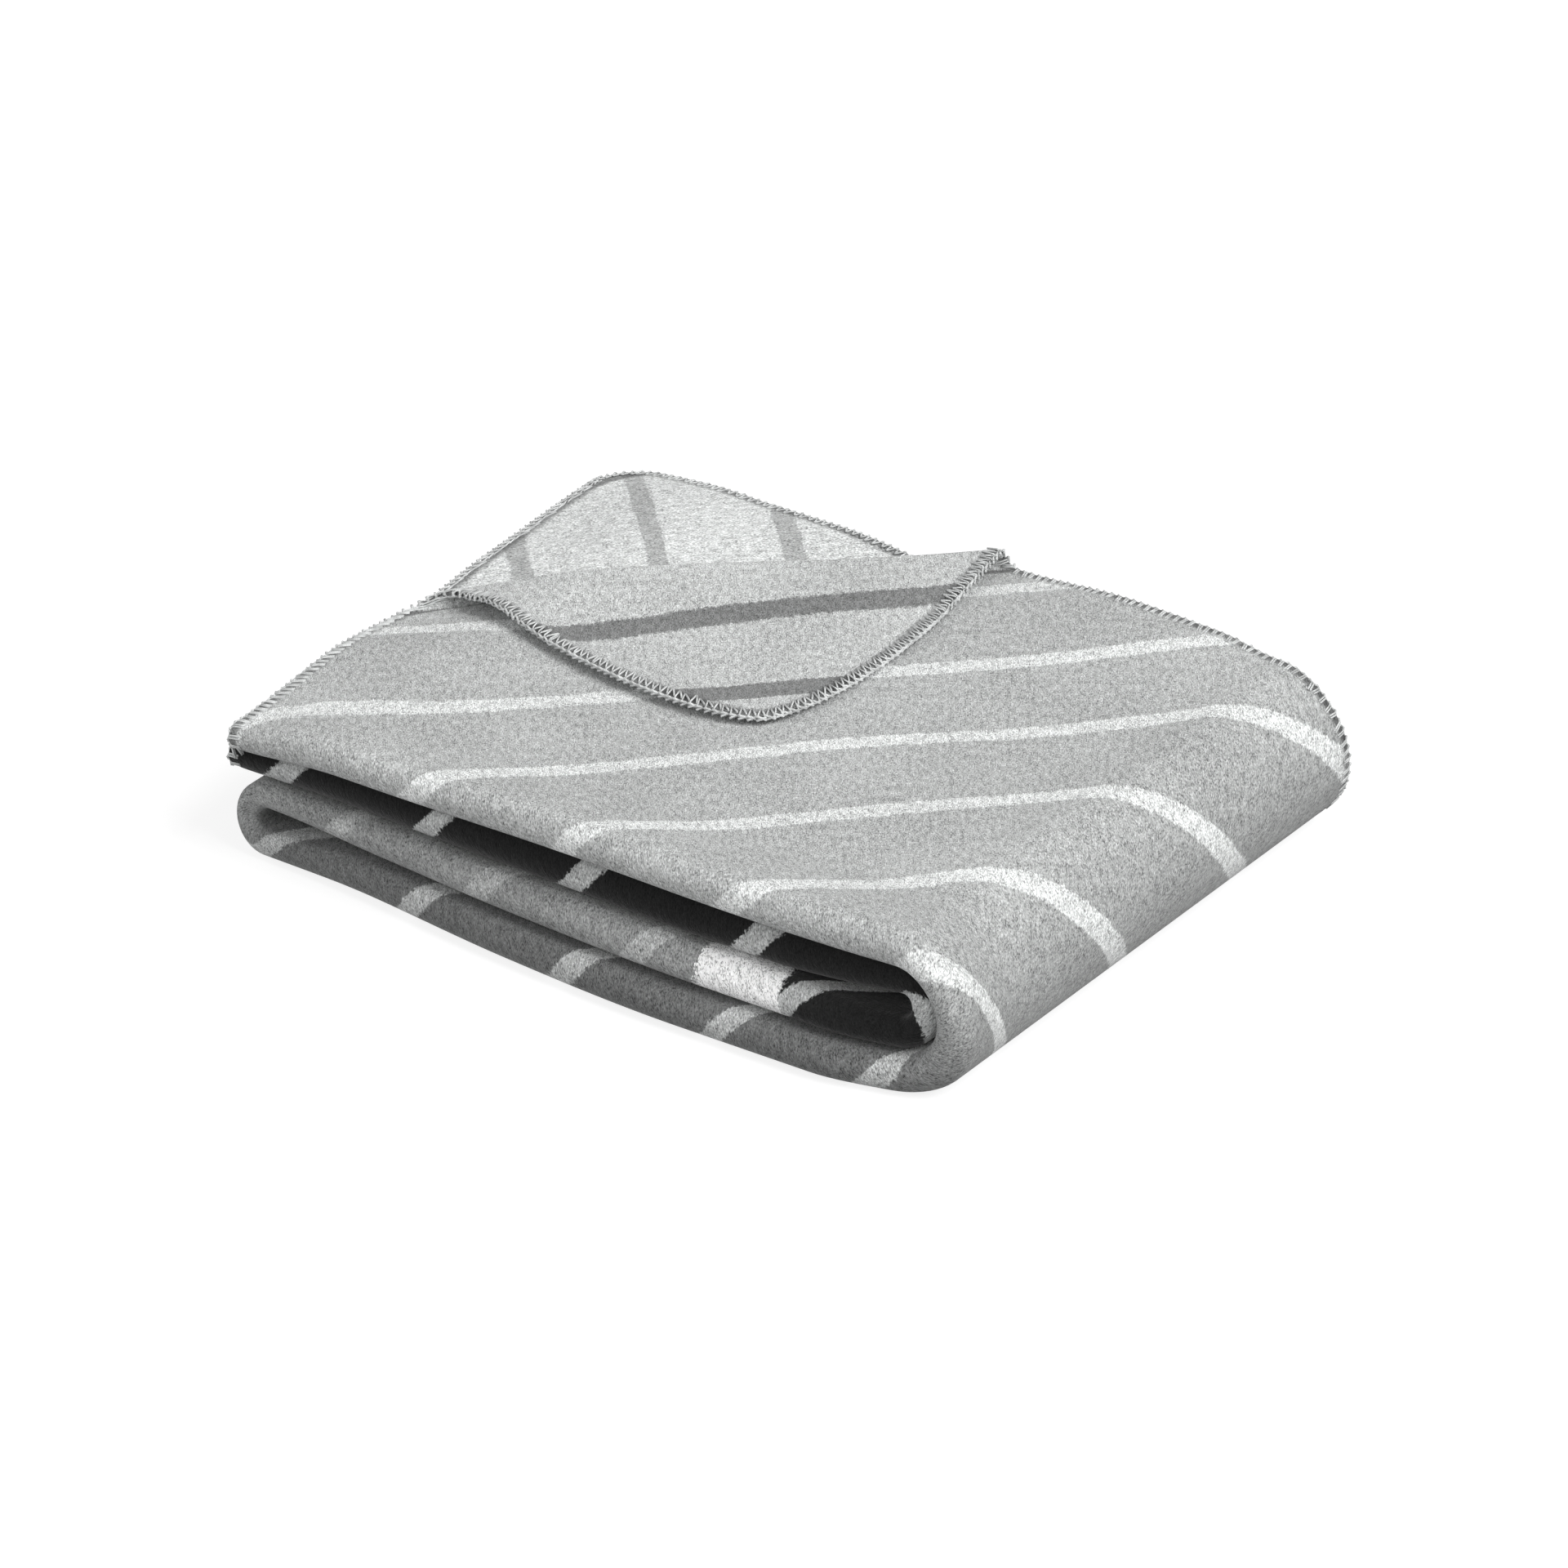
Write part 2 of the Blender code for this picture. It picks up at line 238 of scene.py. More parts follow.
def section(part, t, stretch, u, side):
    """Points of the throw before it settles, and their marks: w, l, the distance to the rim, and w and l
    again for the pattern. side is 1 on the front face, -1 on the back and 0 in the middle of the cloth."""
    x, z, nx, nz, step, slack = spine(part, t)
    hem = first_hem(part, x, np.asarray(t, float))
    first, last = hem, HEM + 0 * x
    if part == "a":
        first = np.minimum(hem, crease_left.y + (x - X_END) * along.y / along.x)
        last = last - corner_cut(x)
    if part == "b":
        first, last = first - corner_cut(x), last - corner_cut(x)
    far = OUTERMOST * step
    turn_y = SIDE + slack + far + SOLID_CLOTH / 2
    rim = rim_distance(part, t, stretch, u)
    half = side * half_cloth(rim)
    a = pi * u
    ways = [
        lambda: (first + (turn_y - first) * u, far, 0, 1),
        lambda: (turn_y - far * np.sin(a), far * np.cos(a), -np.sin(a), np.cos(a)),
        lambda: (turn_y + (MIDDLE_FOLD - turn_y) * u, -far, 0, -1),
        lambda: (MIDDLE_FOLD + step / 2 * np.sin(a), -step - step / 2 * np.cos(a), np.sin(a), -np.cos(a)),
        lambda: (MIDDLE_FOLD + (turn_y - MIDDLE_FOLD) * u, -step / 2, 0, 1),
        lambda: (turn_y - step / 2 * np.sin(a), -step / 2 * np.cos(a), np.sin(a), np.cos(a)),
        lambda: (turn_y + (last - turn_y) * u, step / 2, 0, -1),
    ]
    y, n, face_y, face_n = ways[stretch]()
    y, n = y + half * face_y, n + half * face_n
    w = w_of(stretch, u) + HALF_SLIP * (u if stretch == 4 else stretch > 4) + 0 * x
    if stretch == 0:
        w = hem - y + (MARKS[1] - hem + turn_y) * (1 - ease(y, turn_y, turn_y + FOLD_EASE))
    if stretch == 6:
        w = MARKS[6] + (y - turn_y) + HALF_SLIP
    l = STARTS[part] + RUNS[part] * np.asarray(t, float) + 0 * w
    return (np.stack(np.broadcast_arrays(x + nx * n, y, z + nz * n), -1),
            np.stack(np.broadcast_arrays(w + 0 * x, l, rim, w + 0 * x, l), -1))


# %% [markdown]
# Folded by hand, no pile is square. The last step in shaping the cloth moves every point by one smooth
# field, so that layers which touch keep touching: the outer fold leans down and out, the lower side folds
# bulge forward in the middle and stand back at the left, and the top is gently uneven. The corner under
# the turned one and the free end ride up a few millimetres, except along the crease, where the hinge is.

# %% How the pile settles
HEIGHT = high_a.z
LEAN = 0.17  # metres outwards for each metre down, at the outer fold
STAND_BACK, BULGE = 0.011, 0.018
RELAX, LONG_WAVE, SHORT_WAVE = 0.0016, (0.33, 0.71), (0.39, 0.9)
BACK_RISE, CORNER_RISE, END_RISE = 0.0042, 0.0045, 0.0060
TOP_DRAWN_IN, SECOND_SLIPPED_OUT = 0.010, 0.003
SECOND_FROM, TOP_FROM = (0.046, 0.050), (0.062, 0.072)  # heights where those two leaves begin


def settle(points):
    """The points of the pile as it really lies."""
    x, y, z = points[..., 0], points[..., 1], points[..., 2]
    right = ease(x, X_RIGHT - 0.035, X_RIGHT + 0.040)
    low = 1 - ease(z, 0, HEIGHT)
    front = 1 - ease(y, SIDE, SIDE + 0.30)
    span = (x - X_LEFT) / (X_RIGHT - X_LEFT)
    bulge = STAND_BACK * (1 - ease(span, -0.06, 0.42))
    bulge = bulge - BULGE * ease(span, 0.1, 0.70) * (1 - ease(span, 0.9, 1.10))
    wave = np.sin(2 * pi * (x / LONG_WAVE[0] + y / LONG_WAVE[1]) + 0.9)
    wave = wave * np.cos(2 * pi * (y / SHORT_WAVE[0] - x / SHORT_WAVE[1]) + 0.4)
    corner = CORNER_RISE * (1 - ease(x, -0.05, 0.03))
    back_lift = (BACK_RISE + corner) * ease(y, 0.0, HEM) * (1 - ease(x, 0.16, X_RIGHT))
    end_lift = END_RISE * (1 - ease(x, X_END, X_END + 0.11)) * ease(y, -0.17, -0.02)
    from_crease = np.abs((x - crease_middle.x) * over.x + (y - crease_middle.y) * over.y)
    held = ease(from_crease, 0.006, 0.060)
    free_end = (1 - ease(x, X_END, X_END + 0.05)) * (1 - ease(y, SIDE, SIDE + 0.13))
    drawn_in = (TOP_DRAWN_IN * ease(z, *TOP_FROM) - SECOND_SLIPPED_OUT) * free_end * ease(z, *SECOND_FROM)
    amount = np.clip(z / HEIGHT, 0, 1.1)
    return np.stack([
        x - LEAN * (z - HEIGHT / 2) * right + drawn_in,
        y + bulge * low * front,
        z + amount * (RELAX * wave + (back_lift + end_lift) * held) * (1 - right),
    ], -1)


# %% [markdown]
# Each stretch of cloth is a closed thin solid: a front face, a back face and a rim. The grid of points is
# regular, so the faces are made by index arithmetic. The rim's edges are marked sharp, so that the light
# does not run round from a face to the rim. The cloth's own (w, l) becomes two UV maps, in metres, one for
# the nap and one for the pattern, and the distance to the rim becomes an attribute.

# %% From grids of points to a closed piece of cloth
def index_quads(a, b, c, d):
    return np.stack([a.ravel(), b.ravel(), c.ravel(), d.ravel()], -1)


def closed_sheet(name, front, back, marks, materials):
    """front and back are grids of points (n, m, 3). marks is their grid of w, l, the distance to the rim, and
    the w and l of the woven pattern, which differ from the first two only on the pulled corner."""
    n, m = front.shape[:2]
    ids = np.arange(n * m).reshape(n, m)
    under = ids + n * m
    faces = [index_quads(ids[:-1, :-1], ids[:-1, 1:], ids[1:, 1:], ids[1:, :-1]),
             index_quads(under[:-1, :-1], under[1:, :-1], under[1:, 1:], under[:-1, 1:])]
    rim = [(ids[0], under[0]), (ids[-1][::-1], under[-1][::-1]),
           (ids[::-1, 0], under[::-1, 0]), (ids[:, -1], under[:, -1])]
    for upper, lower in rim:
        faces.append(index_quads(upper[:-1], lower[:-1], lower[1:], upper[1:]))
    counts = [len(group) for group in faces]
    faces = np.concatenate(faces)
    points = np.concatenate([front.reshape(-1, 3), back.reshape(-1, 3)])
    mesh = bpy.data.meshes.new(name)
    mesh.from_pydata(points.tolist(), [], faces.tolist())
    for material in materials:
        mesh.materials.append(material)
    kinds = np.repeat([0, 1, 0, 0, 0, 0], counts)
    mesh.polygons.foreach_set("material_index", kinds)
    mesh.polygons.foreach_set("use_smooth", np.ones(len(faces), bool))
    flat_marks = np.concatenate([marks.reshape(-1, 5)] * 2)
    from_rim = mesh.attributes.new("rim", "FLOAT", "POINT")
    from_rim.data.foreach_set("value", flat_marks[:, 2].astype(np.float32))
    loops = np.empty(len(mesh.loops), np.int32)
    mesh.loops.foreach_get("vertex_index", loops)
    mesh.uv_layers.new(name="weave").data.foreach_set("uv", flat_marks[loops, 3:].ravel())
    mesh.uv_layers.new(name="nap").data.foreach_set("uv", flat_marks[loops, :2].ravel())
    rim_points = np.zeros(len(points), bool)
    for upper, lower in rim:
        rim_points[upper] = rim_points[lower] = True
    ends = np.empty(len(mesh.edges) * 2, np.int32)
    mesh.edges.foreach_get("vertices", ends)
    ends = ends.reshape(-1, 2)
    same_face = (ends[:, 0] < n * m) == (ends[:, 1] < n * m)
    on_rim = rim_points[ends].all(axis=1) & same_face
    border = np.zeros(len(ends), bool)
    row, column = np.divmod(ends % (n * m), m)
    for value, last in ((row, n - 1), (column, m - 1)):
        border |= (value[:, 0] == value[:, 1]) & ((value[:, 0] == 0) | (value[:, 0] == last))
    sharp = mesh.attributes.new("sharp_edge", "BOOLEAN", "EDGE")
    sharp.data.foreach_set("value", on_rim & border)
    print(name, len(points), "points,", len(faces), "faces")
    return into_scene(name, mesh)


# %% [markdown]
# The colours. The front is mid grey with pale stripes; the back swaps the two, as a double weave does. Far
# along the throw the grey gives way to charcoal, past a plain off-white block. The lower leaves, the turned
# corner and the stitched rim also carry painted shade. All of it is drawn from the (w, l) of the cloth, so
# the stripes run on over every fold. Shader nodes are written as plain sums with the small class below.

# %% A small language for shader nodes
class Value:
    """A socket whose sums, products and comparisons make Math nodes."""

    def __init__(self, shader, socket):
        self.shader, self.socket = shader, socket

    def math(self, operation, *others, first=None):
        values = [self if first is None else first, *others]
        node = self.shader.node("ShaderNodeMath", {"operation": operation}, dict(enumerate(values)))
        return node[0]

    def __add__(self, other):
        return self.math("ADD", other)

    def __mul__(self, other):
        return self.math("MULTIPLY", other)

    def __sub__(self, other):
        return self.math("SUBTRACT", other)

    def __rsub__(self, other):
        return self.math("SUBTRACT", self, first=other)

    def __truediv__(self, other):
        return self.math("DIVIDE", other)

    __radd__, __rmul__ = __add__, __mul__

    def sin(self):
        return self.math("SINE")

    def absolute(self):
        return self.math("ABSOLUTE")

    def ease(self, start, end):
        """0 before start, 1 after end, and a soft S between."""
        node = self.shader.node("ShaderNodeMapRange", {"interpolation_type": "SMOOTHSTEP"},
                                {"Value": self, "From Min": start, "From Max": end})
        return node["Result"]


class Shader:
    """A material's node tree, with one method that adds any node."""

    def __init__(self, name):
        self.material = bpy.data.materials.new(name)
        self.material.use_nodes = True
        self.tree = self.material.node_tree
        self.surface = self.tree.nodes["Principled BSDF"]

    def node(self, kind, settings=None, inputs=None):
        made = self.tree.nodes.new(kind)
        for key, value in (settings or {}).items():
            setattr(made, key, value)
        for key, value in (inputs or {}).items():
            self.put(made.inputs[key], value)
        return Outputs(self, made)

    def put(self, socket, value):
        if isinstance(value, Value):
            self.tree.links.new(value.socket, socket)
        else:
            socket.default_value = value

    def mix(self, factor, one, two):
        """One colour turning into the other by the factor."""
        made = self.node("ShaderNodeMix", {"data_type": "RGBA"}, {0: factor, 6: one, 7: two})
        return made[2]

    def noise(self, place, scale, detail, roughness=0.5, distortion=0.0, dimensions="2D"):
        """A cloudy value from 0 to 1, finer as the scale grows."""
        made = self.node("ShaderNodeTexNoise", {"noise_dimensions": dimensions},
                         {"Vector": place, "Scale": scale, "Detail": detail, "Roughness": roughness,
                          "Distortion": distortion})
        return made["Fac"]

    def fix(self, **values):
        """Sets or links sockets of the surface, with _ for a space in a name."""
        for key, value in values.items():
            self.put(self.surface.inputs[key.replace("_", " ")], value)


class Outputs:
    """The outputs of a node, by name or number, as values."""

    def __init__(self, shader, made):
        self.shader, self.made = shader, made

    def __getitem__(self, key):
        return Value(self.shader, self.made.outputs[key])


def grey(level, cool=0.012):
    """A grey as linear colour, a touch cool."""
    return (level * (1 - cool), level * (1 + cool / 2), level, 1)


# %% [markdown]
# One stripe is the set of points where a slowly bending phase passes a whole number. The phase grows along
# l and across w, which gives the slant, and two sine waves bend it. Each wave has a size, repeats a metre
# across and along, and a start. The pitch, the slant and the waves are not round numbers, because they are
# the result of a least-squares fit to the real stripes. Where the cloth is pulled, slack or hangs over a
# fold, the phase is shifted. The nap blurs the stripe's edge, so fine noise shifts it too.

# %% The woven pattern
PITCH = 0.1115
SLANT = 0.8844
SHIFT = 0.590
BENDS = ((0.030, 0.2276, -0.3831, 5.2127), (0.007, 1.3563, 2.4476, -0.8064))
PULLED, SLACKENED, HUNG = 0.021, 0.026, 0.012  # shifts of the phase, in metres
HALF_STRIPE = 0.078  # as a share of the pitch, like the next four
STRIPE_BLUR, WIDER_NEAR_CORNER = 0.010, 0.040
FUZZ_SHIFT, DRIFT_SHIFT = 0.055, 0.035
CHARCOAL_FROM = 1.424
BLOCK_FROM = 1.370
BLOCK_LEFT, BLOCK_RIGHT = (0.355, 0.358), (0.497, 0.500)


def weave(shader):
    """Values of the cloth: w, l, a stripe mask, a fine and a slow noise, and the distance to the rim."""
    uv = shader.node("ShaderNodeUVMap", {"uv_map": "weave"})["UV"]
    parts = shader.node("ShaderNodeSeparateXYZ", {}, {0: uv})
    w, l = parts["X"], parts["Y"]
    fuzz = shader.noise(uv, 520.0, 2.0, 0.6)
    drift = shader.noise(uv, 60.0, 2.0)
    phase = l + w * SLANT
    for size, across, onward, start in BENDS:
        phase = phase + (w * (2 * pi * across) + l * (2 * pi * onward) + start).sin() * size
    pulled = l.ease(0.20, 0.42) * (1 - w.ease(0.08, 0.36)) * PULLED
    slack = (1 - l.ease(0.0, 0.10)) * w.ease(0.18, 0.32) * (1 - w.ease(0.40, 0.46)) * SLACKENED
    backwards = l.ease(0.50, 0.56) * (1 - l.ease(0.97, 1.01)) + l.ease(1.47, 1.52)
    hanging = w.ease(0.39, 0.43) * (1 - w.ease(0.54, 0.62)) * backwards * HUNG
    phase = (phase - pulled + slack + hanging) / PITCH + (SHIFT + 0.5)
    phase = phase + (fuzz - 0.5) * FUZZ_SHIFT + (drift - 0.5) * DRIFT_SHIFT
    wider = (1 - (w + l).ease(0.10, 0.22)) * WIDER_NEAR_CORNER
    off = (phase.math("FRACT") - 0.5).absolute() - wider
    stripe = 1 - off.ease(HALF_STRIPE - STRIPE_BLUR, HALF_STRIPE + STRIPE_BLUR)
    rim = shader.node("ShaderNodeAttribute", {"attribute_name": "rim"})["Fac"]
    return w, l, stripe, fuzz, drift, rim


def nap(shader, lean):
    """The raised fibres as three noises: fine streaks that lean one way, tufts, and broad brushed patches."""
    uv = shader.node("ShaderNodeUVMap", {"uv_map": "nap"})["UV"]
    parts = shader.node("ShaderNodeSeparateXYZ", {}, {0: uv})
    lengthwise = parts["X"] * cos(lean) + parts["Y"] * sin(lean)
    crosswise = parts["Y"] * cos(lean) - parts["X"] * sin(lean)
    turned = shader.node("ShaderNodeCombineXYZ", {}, {0: lengthwise * 0.48, 1: crosswise})["Vector"]
    streak = shader.noise(turned, 1400.0, 3.0, 0.62, 0.5)
    tufts = shader.noise(turned, 330.0, 2.0)
    brushed = shader.noise(uv, 14.0, 3.0, 0.55)
    return streak, tufts, brushed


STREAKS, TUFTS, BRUSHING = 3.2, 1.0, 0.34  # how strongly each noise of the nap shades the cloth
# RIM_SHADE is the painted shade at the stitched rim: the share of the colour that is left right at it
DARKEST, RIM_SHADE = 0.25, 0.30
RIM_SHADE_ENDS = (0.0030, 0.0095)


def cloth_finish(name, ground, stripe_colour, charcoal, lean):
    """One face of the cloth. ground and stripe_colour give its colours from w and l."""
    shader = Shader(name)
    w, l, stripe, fuzz, drift, rim = weave(shader)
    streak, tufts, brushed = nap(shader, lean)
    edge = (fuzz - 0.5) * 0.012 + (drift - 0.5) * 0.010
    dark = (l + edge + (w * 21 + 0.6).sin() * 0.010).ease(CHARCOAL_FROM - 0.001, CHARCOAL_FROM + 0.002)
    block = (l + edge).ease(BLOCK_FROM - 0.001, BLOCK_FROM + 0.001) * (1 - dark)
    block = block * w.ease(*BLOCK_LEFT) * (1 - w.ease(*BLOCK_RIGHT))
    base = ground(shader, w, l)
    colour = shader.mix(dark, base, charcoal)
    colour = shader.mix(stripe, colour, stripe_colour(shader, w, l))
    colour = shader.mix(block, colour, grey(0.92, 0.0))
    depth = (streak - 0.5) * STREAKS + (tufts - 0.5) * TUFTS + (brushed - 0.5) * BRUSHING
    # painted shade: the cloth darkens towards the stitched rim, for the shade between and under the stitch
    # legs
    painted_rim_shade = RIM_SHADE + rim.ease(*RIM_SHADE_ENDS) * (1 - RIM_SHADE)
    depth = (depth + 1.0).math("MAXIMUM", DARKEST) * painted_rim_shade
    shade = shader.node("ShaderNodeCombineColor", {}, {0: depth, 1: depth, 2: depth})["Color"]
    colour = shader.node("ShaderNodeMix", {"data_type": "RGBA", "blend_type": "MULTIPLY"},
                         {0: 1.0, 6: colour, 7: shade})[2]
    bump = shader.node("ShaderNodeBump", {}, {"Strength": 0.7, "Distance": 0.0010,
                                              "Height": streak * 0.6 + tufts * 0.9})
    shader.fix(Base_Color=colour, Normal=bump["Normal"], Roughness=0.95, Sheen_Weight=0.25,
               Sheen_Roughness=0.45, Specular_IOR_Level=0.12)
    return shader.material


AT_OUTER_FOLD, AT_LEFT_FOLD, AT_INNER_FOLD = (0.46, 0.60), (1.00, 1.08), (1.46, 1.52)


def front_ground(shader, w, l):
    """Grey: palest on the top leaf, deepest on the lowest, and between the two on the leaf above that. The
    deeper greys of the lower leaves are painted shade.
    """
    # painted shade: the two lower leaves get a deeper ground than the top leaf, for the shade lower in the
    # pile
    lowest = l.ease(*AT_OUTER_FOLD) * (1 - l.ease(*AT_LEFT_FOLD))
    third = l.ease(*AT_LEFT_FOLD) * (1 - l.ease(*AT_INNER_FOLD))
    return shader.mix(third, shader.mix(lowest, grey(0.48), grey(0.16)), grey(0.32))


def near_first_corner(w, l):
    """1 round the corner where w and l start, 0 far from it."""
    return (1 - w.ease(0.40, 0.9)) * (1 - l.ease(0.4, 0.7))


def back_stripe(shader, w, l):
    return shader.mix(near_first_corner(w, l), grey(0.43), grey(0.22))


def back_ground(shader, w, l):
    # painted shade: the back's ground is darker round the first corner, where it shows on the turned-down
    # flap
    return shader.mix(near_first_corner(w, l), grey(0.68), grey(0.56))


def front_stripe(shader, w, l):
    # painted shade and the cloth's own colour: the stripes are darker past the outer fold; mid grey is their
    # own colour on the charcoal, and on the two lower grey leaves it is painted shade
    return shader.mix(l.ease(0.50, 0.60), grey(0.74), grey(0.48))


FRONT = cloth_finish("throw_front", front_ground, front_stripe, grey(0.013), radians(35))
BACK = cloth_finish("throw_back", back_ground, back_stripe, grey(0.60), radians(48))
print("finishes", FRONT.name, BACK.name)

# %% [markdown]
# The grids. A grid line is needed wherever the shape turns: many on the half-round stretches, fewer on the
# flat ones, and several close to the free ends, where the corners of the throw are rounded.

# %% Grid lines
ACROSS_COUNTS = (56, 20, 30, 8, 30, 10, 44)  # grid spaces on each stretch of the section
WRAP_LINES, LOOP_LINES, CORNER_LINES = 41, 21, 10
LINE_STEP = 0.0055


def grid_lines(part):
    """Values of t along a part."""
    if part not in FACING:
        return np.linspace(0, 1, WRAP_LINES if part == "outer" else LOOP_LINES)
    start = X_END if part in "ab" else X_LEFT
    stops = [start, X_RIGHT]
    x = []
    if part in "ab":
        x = [X_END + CORNER * (1 - cos(k / CORNER_LINES * pi / 2)) for k in range(CORNER_LINES)]
        stops = [X_END + CORNER, X_RIGHT]
    if part == "a":
        stops.insert(1, crease_right.x)
    for one, two in zip(stops, stops[1:]):
        count = round((two - one) / LINE_STEP)
        x += [one + (two - one) * k / count for k in range(count)]
    t = (np.array(x + [X_RIGHT]) - start) / (X_RIGHT - start)
    return t if part in "ac" else 1 - t[::-1]


def cloth_grid(parts, side):
    """The grid of points of one face over one or more parts, and its marks."""
    rows, marks = [], []
    for k, part in enumerate(parts):
        t = grid_lines(part)[1 if k else 0:, None]
        columns = [section(part, t, s, np.linspace(0, 1, count + 1)[None, 1 if s else 0:], side)
                   for s, count in enumerate(ACROSS_COUNTS)]
        rows.append(np.concatenate([points for points, _ in columns], 1))
        marks.append(np.concatenate([mark for _, mark in columns], 1))
    return settle(np.concatenate(rows)), np.concatenate(marks)


def cloth_piece(name, parts):
    front, marks = cloth_grid(parts, 1)
    back, _ = cloth_grid(parts, -1)
    return closed_sheet(name, front, back, marks, (FRONT, BACK))


lower_cloth = cloth_piece("lower_cloth", ["d", "left", "c"])
top_leaf = cloth_piece("top_leaf", ["a"])
second_leaf = cloth_piece("second_leaf", ["b"])
outer_wrap = cloth_piece("outer_wrap", ["outer"])
inner_wrap = cloth_piece("inner_wrap", ["inner"])

# %% [markdown]
# The turned corner. The outermost layer leaves the top leaf along the crease, rolls up and back over itself
# and lies down on the pile with its back face showing. The roll is a half circle whose height grows from
# the free end towards the hem. The flap ends in a soft curve; every point knows where it lay before it was
# turned, and takes its marks from there, so the stripes run on across the crease.

# %% The roll along the crease and the flap beyond it
ROLL_LEFT, ROLL_RIGHT = 0.0050, 0.0064
FLAP_MIDDLE, FLAP_HALF, FLAP_REACH, FLAP_POWER = 0.192, 0.158, 0.184, 1.5
CREASE = 2 * crease_half
REST = CLOTH + 0.0010
HOVER, PUFF = 0.0035, 0.0022  # the flap's lifted edge near the free end, and its soft swelling
SKEW_AT_END, SKEW_GAIN, TIP_PULL = -0.042, 0.138, 0.016
ROLL_LINES, FLAP_LINES = 17, 45


def roll_radius(s):
    """s is the distance along the crease from the free end."""
    return ROLL_LEFT + (ROLL_RIGHT - ROLL_LEFT) * s / CREASE


def unturned(s, away, rim):
    """The five marks of a point that lay this far beyond the crease before the corner was turned. The
    pattern is pulled a little askew, more so at the free end."""
    skewed = away + (SKEW_AT_END + SKEW_GAIN * s) * ease(away, 0.0, 0.055)
    skewed = skewed - TIP_PULL * ease(away, 0.05, 0.13)

    def flat(distance):
        x = crease_left.x + along.x * s - over.x * distance
        y = crease_left.y + along.y * s - over.y * distance
        return first_hem("a", x, 0) - y, x - X_END

    return np.stack(np.broadcast_arrays(*flat(away), rim, *flat(skewed)), -1)


def spine_under(s):
    x = crease_left.x + along.x * s
    return spine("a", (x - X_END) / (X_RIGHT - X_END))


def over_crease(s, d, z):
    """The point s along the crease, d across it over the pile, and z high."""
    return np.stack(np.broadcast_arrays(crease_left.x + along.x * s + over.x * d,
                                        crease_left.y + along.y * s + over.y * d, z), -1)


def roll_at(s, turn, side):
    """Points of the roll and their marks: s from 0 to 1 between the two hems, turn from 0 to pi."""
    ends = (FLAP_MIDDLE - FLAP_HALF, FLAP_MIDDLE + FLAP_HALF)
    start = ends[0] * turn / pi
    end = CREASE + (ends[1] - CREASE) * turn / pi
    place = start + (end - start) * s
    radius = roll_radius(place)
    _, z, _, _, step, _ = spine_under(place)
    rim = np.minimum(s, 1 - s) * CREASE
    r = radius - side * half_cloth(rim)
    points = over_crease(place, -r * np.sin(turn), z + OUTERMOST * step + radius - r * np.cos(turn))
    return settle(points), unturned(place, radius * turn, rim)


def flap_edge(s):
    """How far the flap reaches over the pile at this place along the crease."""
    return FLAP_REACH * (1 - np.abs((s - FLAP_MIDDLE) / FLAP_HALF) ** FLAP_POWER)


def flap_rim(s, d):
    """The distance from a place on the flap to its stitched rim."""
    slope = FLAP_POWER * FLAP_REACH / FLAP_HALF * np.abs((s - FLAP_MIDDLE) / FLAP_HALF) ** (FLAP_POWER - 1)
    return (flap_edge(s) - d) / np.hypot(1, slope)


def flap_height(s, d):
    """The middle of the flap above the top layer's middle: it falls from the roll and lies down."""
    down = 1 - ease(d, 0.0, 0.075)
    lift = 2 * roll_radius(s)
    edge = np.clip(flap_edge(s) - d, 0, 1)
    curl = HOVER * np.exp(-(edge / 0.022) ** 2) * (1 - ease(s, 0.10, 0.30)) * ease(d, 0.0, 0.03)
    puff = PUFF * np.exp(-((s - 0.19) / 0.07) ** 2 - ((d - 0.09) / 0.05) ** 2)
    return REST + np.clip(lift - REST, 0, 1) * down + curl + puff


def flap_at(s, d, side):
    """Points of the flap and their marks. The cloth's thickness stands square to its bending middle."""
    def middle(s, d):
        x = crease_left.x + along.x * s + over.x * d
        _, z, _, _, step, _ = spine("a", np.clip((x - X_END) / (X_RIGHT - X_END), 0, 1))
        return over_crease(s, d, z + OUTERMOST * step + flap_height(s, d))

    small = 0.0004
    ds = middle(s + small, d) - middle(s - small, d)
    dd = middle(s, d + small) - middle(s, d - small)
    normal = np.cross(dd, ds)
    normal /= np.linalg.norm(normal, axis=-1, keepdims=True)
    normal *= np.sign(normal[..., 2:])
    falling = 1 - ease(d, 0.0, 0.004)[..., None]
    normal = normal * (1 - falling) + np.array([0, 0, 1.0]) * falling
    rim = np.clip(flap_rim(s, d), 0, 1)
    half = half_cloth(rim)[..., None]
    return settle(middle(s, d) - side * normal * half), unturned(s, pi * roll_radius(s) + d, rim)


def turned_grids():
    x = X_END + (X_RIGHT - X_END) * grid_lines("a")
    s = (x[x < crease_right.x + 1e-6] - X_END) / along.x / CREASE
    turn = np.linspace(0, pi, ROLL_LINES)
    roll = [roll_at(s[:, None], turn[None, :], side) for side in (1, -1)]
    place = FLAP_MIDDLE - FLAP_HALF + 2 * FLAP_HALF * s[:, None]
    u = np.linspace(0, 1, FLAP_LINES)[None, :]
    flap = [flap_at(place + 0 * u, np.clip(flap_edge(place), 0.0004, 1) * u, side) for side in (1, -1)]
    return roll, flap


roll_faces, flap_faces = turned_grids()
(roll_front, roll_marks), (roll_back, _) = roll_faces
(flap_front, flap_marks), (flap_back, _) = flap_faces
crease_roll = closed_sheet("crease_cloth", roll_front, roll_back, roll_marks, (FRONT, BACK))
corner_flap = closed_sheet("turned_corner_cloth", flap_front, flap_back, flap_marks, (FRONT, BACK))

# %% [markdown]
# Which way round a closed piece faces decides how light falls on it, so each piece is asked for its volume:
# a negative one means that its faces point inwards and are turned round.

# %% Faces outwards
import bmesh


